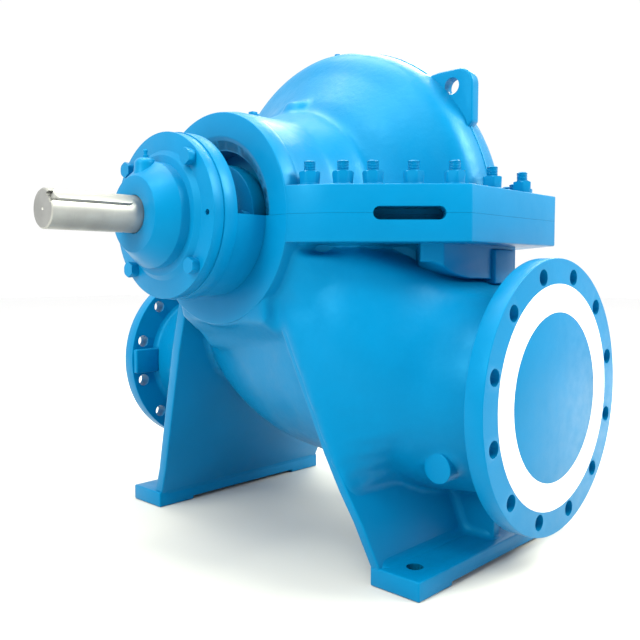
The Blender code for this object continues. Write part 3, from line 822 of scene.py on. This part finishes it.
def web_fillets():
    """Fill the corner between the suction horn and the outer face of its leg, level by level."""
    thickness, web_edge = SUCTION_WEB
    corners = []
    for step in range(FILLET_LEVELS):
        z = FILLET_LOW + (FLARE[0][0] - FILLET_LOW) * step / FILLET_LEVELS
        edge_x = next(x0 + (x1 - x0) * (z - z0) / (z1 - z0)
                      for (x0, z0), (x1, z1) in zip(web_edge, web_edge[1:]) if z <= z1)
        reach = FILLET_REACH * min(1.0, step / FILLET_RISE)
        corners.append((edge_x + FILLET_LAP, web_inner(z) + thickness, z, reach))
    corners += [(FLARE_X, y, z, FILLET_REACH) for z, y in FLARE]
    rows = []
    for x, y, z, reach in corners:
        corner = Vector((x, -y))
        tries = [-y - FILLET_STEP * k for k in range(1, int(reach / FILLET_STEP) + 2)]
        touch = max((Vector((body_edge(place, z), place)) for place in tries),
                    key=lambda spot: atan2(spot.x - corner.x, corner.y - spot.y))
        rows.append([(*corner, z), (*touch, z), (touch.x - FILLET_INWARD, -y + FILLET_BEHIND, z),
                     (x - FILLET_STEP, -y + FILLET_ROOT, z)])
    pieces = []
    for side in (-1, 1):
        for low, high in zip(rows, rows[1:]):
            bm = bmesh.new()
            for x, y, z in low + high:
                bm.verts.new((side * x, y, z))
            bmesh.ops.convex_hull(bm, input=bm.verts[:])
            pieces.append(bm)
    return pieces


def duct():
    """The round discharge duct, which starts inside the slanted web of its leg."""
    bm = rod(DUCT_START, DUCT_END, DUCT_RADIUS, **NOZZLE_AXIS)
    inside = (0, web_inner(NOZZLE_Z) + DUCT_IN_WEB, NOZZLE_Z)
    return sliced(bm, inside, (0, 1, WEB_LEAN), keep_front=True)


def collar(side):
    """The band round a casing end, cut straight on both sides, over the saddle."""
    start, end = sorted((side * (CASING_END - GAP), side * COLLAR_START))
    bm = rod(start, end, COLLAR_RADIUS)
    for hand in (-1, 1):
        sliced(bm, (0, hand * COLLAR_HALF_WIDTH, 0), (0, hand, 0))
    return bm


def saddle(side):
    points = [(side * x, SADDLE_SIDES[0], z) for x, z in SADDLE_OUTLINE]
    return prism(points, (0, SADDLE_SIDES[1] - SADDLE_SIDES[0], 0))


def web_inner(height):
    return FOOT_INNER - WEB_LEAN * (height - WEB_BASE)


def leg_solids(side, skin=0.0, edge=0.0):
    """Foot rail, slanted web and rib. skin thins the broad faces, edge draws in the ends."""
    thickness, web_edge = SUCTION_WEB if side < 0 else DISCHARGE_WEB
    inner, outer = sorted((side * (FOOT_INNER + skin), side * (FOOT_OUTER - edge)))
    rail = block((-FOOT_HALF_LENGTH + edge, inner, edge),
                 (FOOT_HALF_LENGTH - edge, outer, FOOT_TOP - skin))
    outline = [(-x + edge, z) for x, z in web_edge] + [(x - edge, z) for x, z in reversed(web_edge)]
    web = prism([(x, side * (web_inner(z) + skin), z) for x, z in outline],
                (0, side * (thickness - 2 * skin), 0))
    low = web_edge[0][1]
    rib = ((web_inner(low) + RIB_IN_WEB, low), (RIB_REACH - edge, low),
           (RIB_REACH - edge, RIB_TOP), (web_inner(RIB_TOP), RIB_TOP))
    rib = prism([(RIB_START + skin, side * y, z) for y, z in rib],
                (RIB_END - RIB_START - 2 * skin, 0, 0))
    return [rail, web, rib]


def foot_cutters(side):
    cutters = [block((-FOOT_PAD_END, -1, -OVERCUT), (FOOT_PAD_END, 1, FOOT_RELIEF))]
    for hand in (-1, 1):
        outline = [(hand * FOOT_HOLE_X + x, side * FOOT_HOLE_Y + y)
                   for x, y in circle(FOOT_HOLE_RADIUS, HOLE_SIDES)]
        cutters.append(plate(outline, -OVERCUT, FOOT_TOP + OVERCUT))
    return cutters


def drain_boss(side, face, radius):
    disc = [(side * face, DRAIN_Y + y, DRAIN_Z + z) for y, z in circle(radius, 64)]
    return prism(disc, (-side * DRAIN_LENGTH, 0, 0))


def drain_faces(material):
    bosses = [softened(drain_boss(side, DRAIN_X, DRAIN_RADIUS), RIM_EDGE, 3) for side in (-1, 1)]
    finish("drain_bosses", gathered(bosses), material)


def lower_casting(material):
    bottom = SHAFT_Z - SPLIT_THICKNESS + SKIN_DROP
    solids = [lower_body(), necks(), duct(),
              plate(mirrored_outline(SPLIT_OUTLINE, APRON_INSET), bottom, SHAFT_Z + OVERCUT),
              plate(mirrored_outline(SKIRT_CORE), SKIRT_CORE_BOTTOM, SHAFT_Z - OVERCUT)]
    solids += web_fillets()
    for side in (-1, 1):
        solids += [saddle(side), collar(side)]
        solids += leg_solids(side, SKIN_DROP, SKIN_INSET)
        solids.append(drain_boss(side, DRAIN_X - SKIN_INSET, DRAIN_RADIUS - 0.001))
    for side, radius, thickness in ((-1, SUCTION_RADIUS, SUCTION_THICKNESS),
                                    (1, DISCHARGE_RADIUS, DISCHARGE_THICKNESS)):
        back = side * (FLANGE_FACE - thickness + SKIN_DROP)
        front = side * (FLANGE_FACE - CORE_BELOW_FACE)
        solids.append(rod(back, front, radius - CORE_INSET, **NOZZLE_AXIS))
    bm = halved(fused(solids, LOWER_VOXEL, LOWER_ROUNDS), SHAFT_Z - GAP / 2, keep_above=False)
    cutters = [openings(LOWER_MOUTH), *foot_cutters(-1), *foot_cutters(1)]
    finish("lower_casting", cut(bm, gathered(cutters)), material, ["lower_casing"])


def leg(name, node, side, material):
    """The crisp faces of one leg."""
    rail, web, rib = leg_solids(side)
    rail = cut(softened(rail, CAST_EDGE, 3), gathered(foot_cutters(side)))
    pieces = [rail, softened(web, CAST_EDGE, 3), softened(rib, CAST_EDGE, 3)]
    finish(name, gathered(pieces), material, [node])


# Pipe flanges

def pipe_flange(name, node, side, thickness, radius, bolt_circle, material, boss_root=None):
    """A drilled flange. If it has two tapping bosses, they start at boss_root."""
    back = FLANGE_FACE - thickness
    bm = softened(rod(side * FLANGE_FACE, side * back, radius, **NOZZLE_AXIS), TURNED_EDGE, 3)
    start, end = sorted((side * (FLANGE_FACE + OVERCUT), side * (back - OVERCUT)))
    holes = [rod(start, end, FLANGE_HOLE_RADIUS, 32, axis="Y", centre=(x, NOZZLE_Z + z))
             for x, z in circle(bolt_circle, FLANGE_BOLTS, pi / FLANGE_BOLTS)]
    pieces = [cut(bm, gathered(holes))]
    if boss_root:
        boss_end = sqrt(radius ** 2 - TAPPING_HALF_HEIGHT ** 2) - LAP
        near, far = sorted((side * (back + TAPPING_LAP), side * (back - TAPPING_DEPTH)))
        for hand in (-1, 1):
            first, last = sorted((hand * boss_root, hand * boss_end))
            boss = block((first, near, NOZZLE_Z - TAPPING_HALF_HEIGHT),
                         (last, far, NOZZLE_Z + TAPPING_HALF_HEIGHT))
            pieces.append(softened(boss, BLOCK_EDGE, 3))
    finish(name, gathered(pieces), material, [node])


def flange_cover(name, node, side, inner, outer, material):
    """A ring or disc that closes a nozzle, a little proud of the flange's face."""
    start, end = side * (FLANGE_FACE - GAP - COVER_THICKNESS), side * (FLANGE_FACE + COVER_PROUD)
    profile = [(start, inner), (end, inner), (end, outer), (start, outer)]
    bm = turned(profile, **NOZZLE_AXIS, closed=inner > 0)
    finish(name, softened(bm, 0.0004), material, [node])


# Lifting lugs

def lug(name, node, side, material):
    """A lifting eye, whose root lies inside the dome."""
    corner_y, corner_z = LUG_OUTER - LUG_CORNER, LUG_TOP - LUG_CORNER
    outline = [(LUG_OUTER - in_y, LUG_TOP - down) for in_y, down in LUG_TIP]
    for step in range(LUG_STEPS + 1):
        angle = pi / 2 * (1 - step / LUG_STEPS)
        outline.append((corner_y + LUG_CORNER * cos(angle), corner_z + LUG_CORNER * sin(angle)))
    outline += [(LUG_OUTER, LUG_HEEL), *LUG_ROOT]
    bm = prism([(-LUG_THICKNESS / 2, side * y, SHAFT_Z + z) for y, z in outline],
               (LUG_THICKNESS, 0, 0))
    softened(bm, LUG_EDGE, 3, radians(40))
    hole = [(-LUG_THICKNESS, side * (LUG_HOLE_Y + y), SHAFT_Z + LUG_HOLE_Z + z)
            for y, z in circle(LUG_HOLE_RADIUS, HOLE_SIDES)]
    finish(name, cut(bm, prism(hole, (2 * LUG_THICKNESS, 0, 0))), material, [node])


# Bearings and glands

def bearing_bracket(name, node, side, material):
    """The round bearing seat and the half barrel, open above, that carries it."""
    bore = SHAFT_RADIUS + SEAL_GAP
    seat = lathed(side, [(BRACKET_FACE, bore), (BRACKET_FACE, BRACKET_RADIUS),
                         (BRACKET_BACK, BRACKET_RADIUS), (BRACKET_BACK, bore)])
    ends = ((BRACKET_FACE - BARREL_IN_SEAT, BARREL_RADIUS + BARREL_TAPER),
            (CASING_END + GAP, BARREL_RADIUS))
    barrel = lathed(side, [*ends, *((x, LOWER_BORE) for x, r in reversed(ends))])
    barrel = softened(halved(barrel, SHAFT_Z, keep_above=False), TURNED_EDGE, 3)
    finish(name, gathered([softened(seat, COVER_EDGE, 2), barrel]), material, [node])


def cover_boss(side):
    """The boss on top of a bearing cover, flared at its foot."""
    profile = [(COVER_BOSS_ROOT, 0.0), (COVER_BOSS_ROOT, COVER_BOSS_FOOT)]
    height = COVER_BOSS_TOP - COVER_BOSS_ROOT - COVER_BOSS_CHAMFER
    for step in range(BOSS_STEPS + 1):
        share = step / BOSS_STEPS
        flare = (COVER_BOSS_FOOT - COVER_BOSS_RADIUS) * (1 - share) ** 2
        profile.append((COVER_BOSS_ROOT + height * share, COVER_BOSS_RADIUS + flare))
    profile += [(COVER_BOSS_TOP, COVER_BOSS_RADIUS - COVER_BOSS_CHAMFER), (COVER_BOSS_TOP, 0.0)]
    return softened(upright(profile, 48, side * COVER_BOSS_X, 0.0, SHAFT_Z), CAST_EDGE, 3)


def bearing_cover(name, node, side, material):
    """A coned cover. Its nose is open at the drive end, where the shaft leaves."""
    open_nose = side < 0
    bore = SHAFT_RADIUS + NOSE_GAP if open_nose else 0.0
    profile = [(COVER_BACK, bore), (COVER_BACK, COVER_RADIUS), (COVER_FACE, COVER_RADIUS),
               (COVER_FACE, COVER_PAD_RADIUS + COVER_PAD_SLOPE),
               (COVER_PAD_FACE, COVER_PAD_RADIUS - COVER_PAD_SLOPE),
               (COVER_PAD_FACE, COVER_HUB_RADIUS), (COVER_HUB_FACE, COVER_HUB_RADIUS),
               (NOSE_FACE, NOSE_RADIUS), (NOSE_FACE, bore)]
    bm = softened(lathed(side, profile, closed=open_nose), COVER_EDGE, 2)
    jacks = []
    for hand in (-1, 1):
        hole = [(side * (COVER_FACE - JACK_HOLE_DEPTH), y + hand * COVER_BOLT_CIRCLE, SHAFT_Z + z)
                for y, z in circle(JACK_HOLE_RADIUS, 24)]
        jacks.append(prism(hole, (side * 0.03, 0, 0)))
    bm = cut(bm, gathered(jacks))
    finish(name, gathered([bm, cover_boss(side)]), material, [node])


def gland(name, node, side, material):
    """A gland flange with its nozzle in the stuffing box, and its two studs and nuts."""
    bore, wall = SLEEVE_RADIUS + SEAL_GAP, STUFFING_WALL + GAP
    profile = [(GLAND_FACE, bore), (GLAND_FACE, GLAND_RADIUS), (GLAND_BACK, GLAND_RADIUS),
               (GLAND_BACK, GLAND_NOZZLE), (wall, GLAND_NOZZLE), (wall, bore)]
    pieces = [softened(lathed(side, profile), TURNED_EDGE, 3)]
    for hand in (-1, 1):
        stand = outward(side, GLAND_FACE, hand * GLAND_STUD_Y, 0.0)
        pieces.append(placed(hex_nut(*GLAND_NUT), stand))
        stud = rod(0.0, *GLAND_STUD, 24, **AT_ORIGIN)
        pieces.append(placed(softened(stud, 0.001), stand))
    finish(name, gathered(pieces), material, [node])


# Turning parts

def rotor(steel):
    """The shaft with its keyway and centre hole, the key and the two sleeves."""
    end = -SHAFT_DRIVE_END
    profile = [(end + CENTRE_HOLE[0], 0.0), (end, CENTRE_HOLE[1]),
               (end, SHAFT_RADIUS - SHAFT_CHAMFER), (end + SHAFT_CHAMFER, SHAFT_RADIUS),
               (SHAFT_BLIND_END, SHAFT_RADIUS), (SHAFT_BLIND_END, 0.0)]
    start = end + KEY_INSET
    keyway = key_shape(start - KEY_INSET - KEY_WIDTH, KEY_LENGTH + KEY_INSET + KEY_WIDTH + GAP,
                       KEY_WIDTH / 2 + GAP, KEY_SEAT - GAP, KEY_TOP + OVERCUT)
    bm = cut(turned(profile), keyway)
    finish("keyed_shaft", bm, steel, ["shaft"], "rotor")
    key = key_shape(start, KEY_LENGTH, KEY_WIDTH / 2, KEY_SEAT, KEY_TOP)
    key = softened(key, FINE_EDGE, 2, radians(50))
    finish("feather_key", key, steel, ["shaft_key"], "rotor")
    for name, side in ENDS:
        ring = [(SLEEVE_OUTER_END, SHAFT_RADIUS + GAP), (SLEEVE_OUTER_END, SLEEVE_RADIUS),
                (SLEEVE_INNER_END, SLEEVE_RADIUS), (SLEEVE_INNER_END, SHAFT_RADIUS + GAP)]
        bm = softened(lathed(side, ring), 0.001)
        finish(name + "_sleeve", bm, steel, [name + "_shaft_sleeve"], "rotor")


def key_shape(start, length, half_width, low, high):
    """A key with round ends, turned about the shaft to its place."""
    points = []
    for end in (1, -1):
        middle = start + (length - half_width if end == 1 else half_width)
        for step in range(HALF_ROUND + 1):
            angle = -pi / 2 + pi * step / HALF_ROUND
            points.append((middle + end * half_width * cos(angle),
                           end * half_width * sin(angle), SHAFT_Z + low))
    bm = prism(points, (0, 0, high - low))
    bmesh.ops.rotate(bm, verts=bm.verts, cent=(0, 0, SHAFT_Z),
                     matrix=Matrix.Rotation(KEY_TURN, 3, "X"))
    return bm


# Fasteners

def hex_nut(flats, height):
    """A hexagon nut on the X axis with its outer corners chamfered."""
    corner = flats / sqrt(3)
    bm = prism([(0.0, y, z) for y, z in circle(corner, 6, pi / 6)], (height, 0, 0))
    cone = [(-0.001, 0.0), (-0.001, corner * 0.90), (height - corner * 0.10, corner * 1.01),
            (height, corner * 0.90), (height, 0.0)]
    return cut(bm, turned(cone, 36, **AT_ORIGIN), "INTERSECT")


def outward(side, x, y, z):
    """A fastener's place, z over the shaft, pointing away from the centre plane."""
    return Matrix.Translation((side * x, y, SHAFT_Z + z)) @ Matrix.Diagonal((side, 1, 1, 1))


def placed(bm, matrix):
    bmesh.ops.transform(bm, verts=bm.verts, matrix=matrix)
    return bm


def stud_set(material):
    """Studs, nuts and washers of the split flange."""
    top = SHAFT_Z + SPLIT_THICKNESS
    nut = hex_nut(NUT_FLATS, NUT_HEIGHT)
    washer = softened(rod(0.0, WASHER_HEIGHT, WASHER_RADIUS, 32, **AT_ORIGIN), FINE_EDGE)
    reach = NUT_HEIGHT + WASHER_HEIGHT + STUD_REACH
    thread = [(0.0, 0.0), (0.0, STUD_RADIUS)]
    along = NUT_HEIGHT
    while along < reach - THREAD_PITCH:
        thread += [(along, STUD_RADIUS), (along + THREAD_PITCH / 2, STUD_RADIUS - THREAD_DEPTH)]
        along += THREAD_PITCH
    thread += [(reach - 0.0016, STUD_RADIUS), (reach, STUD_RADIUS - 0.002), (reach, 0.0)]
    stud = turned(thread, 24, **AT_ORIGIN)
    pieces = []
    for hand in (-1, 1):
        for k, (x, y) in enumerate(STUDS):
            stand = Matrix.Translation((x, hand * y, top)) @ Matrix.Rotation(-pi / 2, 4, "Y")
            turn = Matrix.Rotation(0.35 + 0.9 * k, 4, "X")
            pieces.append(placed(washer.copy(), stand))
            raised = stand @ Matrix.Translation((WASHER_HEIGHT, 0, 0))
            pieces.append(placed(nut.copy(), raised @ turn))
            pieces.append(placed(stud.copy(), stand))
    for source in (nut, washer, stud):
        source.free()
    finish("split_flange_studs", gathered(pieces), material)


def cover_bolts(name, side, material):
    """Hexagon bolts of a bearing cover."""
    head = hex_nut(*COVER_BOLT)
    pieces = [placed(head.copy(), outward(side, COVER_FACE, y, z))
              for y, z in circle(COVER_BOLT_CIRCLE, 4, pi / 4 + side * COVER_BOLT_TURN)]
    head.free()
    finish(name, gathered(pieces), material)


def small_fittings(material):
    """The vent plug, the two neck plugs and the two grease nipples."""
    plugs = (("vent_plug", 0.0, DOME_RADIUS, *VENT_PLUG),
             ("drive_neck_plug", -NECK_PLUG_X, NECK_RADIUS, *NECK_PLUG),
             ("nondrive_neck_plug", NECK_PLUG_X, NECK_RADIUS, *NECK_PLUG))
    for node, x, seat, radius, height, sides in plugs:
        base = SHAFT_Z + seat - PLUG_SINK
        outline = [(x + dx, dy) for dx, dy in circle(radius, sides, pi / sides)]
        head = softened(plate(outline, base + 0.003, base + height), 0.0008)
        rim = upright([(0.0, 0.0), (0.0, radius * 0.95), (0.0035, radius * 0.95), (0.0035, 0.0)],
                      24, x, 0.0, base)
        finish(node + "_head", gathered([head, rim]), material, [node])
    for name, side in ENDS:
        bm = upright(NIPPLE, 24, side * COVER_BOSS_X, 0.0, SHAFT_Z + COVER_BOSS_TOP - NIPPLE_SINK)
        finish(name + "_grease_fitting", bm, material, [name + "_grease_nipple"])


# Stage

def build_stage():
    floor = bpy.data.meshes.new("floor")
    bm = bmesh.new()
    bmesh.ops.create_grid(bm, x_segments=1, y_segments=1, size=14.0)
    bm.to_mesh(floor)
    bm.free()
    material, tree, shader, place = new_material("pale_floor")
    # Painted shade: the floor's colour is darker within about a metre of the pump, so the floor
    # under and round it looks shaded and throws less light back up into the pump.
    distance = new_node(tree, "VectorMath")
    distance.operation = "LENGTH"
    link(tree, place, distance.inputs[0])
    painted_floor_shade = spread(tree, distance.outputs["Value"], 0.60, 0.96, 0.9, 3.2)
    link(tree, painted_floor_shade, shader.inputs["Base Color"])
    shader.inputs["Roughness"].default_value = 0.7
    floor.materials.append(material)
    ground = bpy.data.objects.new("floor", floor)
    ground.location.z = -0.0005
    bpy.context.scene.collection.objects.link(ground)
    world = bpy.data.worlds.new("studio")
    world.use_nodes = True
    background = world.node_tree.nodes["Background"]
    background.inputs["Color"].default_value = (1.0, 1.0, 1.0, 1)
    background.inputs["Strength"].default_value = 1.01
    bpy.context.scene.world = world
    bpy.context.scene.view_settings.view_transform = "Standard"
    for name, where, size, power in LAMPS:
        light = bpy.data.lights.new(name, "AREA")
        light.size = size
        light.energy = power
        light.color = LAMP_LIGHT
        lamp = bpy.data.objects.new(name, light)
        lamp.location = where
        aim = Vector((CENTRE_X, 0, LAMP_TARGET_Z)) - Vector(where)
        lamp.rotation_euler = aim.to_track_quat("-Z", "Y").to_euler()
        bpy.context.scene.collection.objects.link(lamp)


def build_camera():
    data = bpy.data.cameras.new("camera")
    data.sensor_width = 36.0
    data.lens = CAMERA_LENS
    camera = bpy.data.objects.new("camera", data)
    level = cos(CAMERA_PITCH)
    forward = Vector((sin(CAMERA_YAW) * level, cos(CAMERA_YAW) * level, sin(CAMERA_PITCH)))
    camera.location = Vector(CAMERA_PLACE) + Vector((CENTRE_X, 0, 0))
    camera.rotation_euler = forward.to_track_quat("-Z", "Y").to_euler()
    bpy.context.scene.collection.objects.link(camera)
    bpy.context.scene.camera = camera


def build_pump():
    cast = paint("cast_paint", 0.00010, 0.00035)
    smooth = paint("smooth_paint", 0.00006, 0.00006)
    white = satin_white("cover_white")
    steel = turned_steel("turned_steel", 1400.0)
    upper_casting(cast)
    lower_casting(cast)
    above, under = SHAFT_Z + GAP / 2, SHAFT_Z - GAP / 2
    top, bottom = SHAFT_Z + SPLIT_THICKNESS, SHAFT_Z - SPLIT_THICKNESS
    split_flange("upper_split_flange", smooth, above, top, above, UPPER_MOUTH)
    split_flange("lower_split_flange", smooth, bottom, under, under, LOWER_MOUTH)
    dome_seam(smooth)
    skirt(smooth)
    drain_faces(smooth)
    for name, side in ENDS:
        end_ring(name + "_end_ring_upper", smooth, side, upper=True)
        end_ring(name + "_end_ring_lower", smooth, side, upper=False)
        bearing_bracket(name + "_bracket", name + "_bearing_bracket", side, smooth)
        bearing_cover(name + "_cover", name + "_bearing_cover", side, smooth)
        cover_bolts(name + "_cover_bolts", side, smooth)
        gland(name + "_gland_flange", name + "_gland", side, smooth)
    leg("suction_leg", "suction_side_leg", -1, smooth)
    leg("discharge_leg", "discharge_side_leg", 1, smooth)
    pipe_flange("suction_pipe_flange", "suction_flange", -1, SUCTION_THICKNESS, SUCTION_RADIUS,
                SUCTION_BOLT_CIRCLE, smooth)
    pipe_flange("discharge_pipe_flange", "discharge_flange", 1, DISCHARGE_THICKNESS,
                DISCHARGE_RADIUS, DISCHARGE_BOLT_CIRCLE, smooth, DUCT_RADIUS)
    for name, side, (disc, inner, outer) in (("suction", -1, SUCTION_COVER),
                                             ("discharge", 1, DISCHARGE_COVER)):
        flange_cover(name + "_ring", name + "_cover_ring", side, inner, outer, white)
        flange_cover(name + "_disc", name + "_cover_disc", side, 0.0, disc, smooth)
    lug("suction_lug", "suction_side_lug", -1, smooth)
    lug("discharge_lug", "discharge_side_lug", 1, smooth)
    rotor(steel)
    stud_set(smooth)
    small_fittings(smooth)


build_camera()
build_stage()
build_pump()
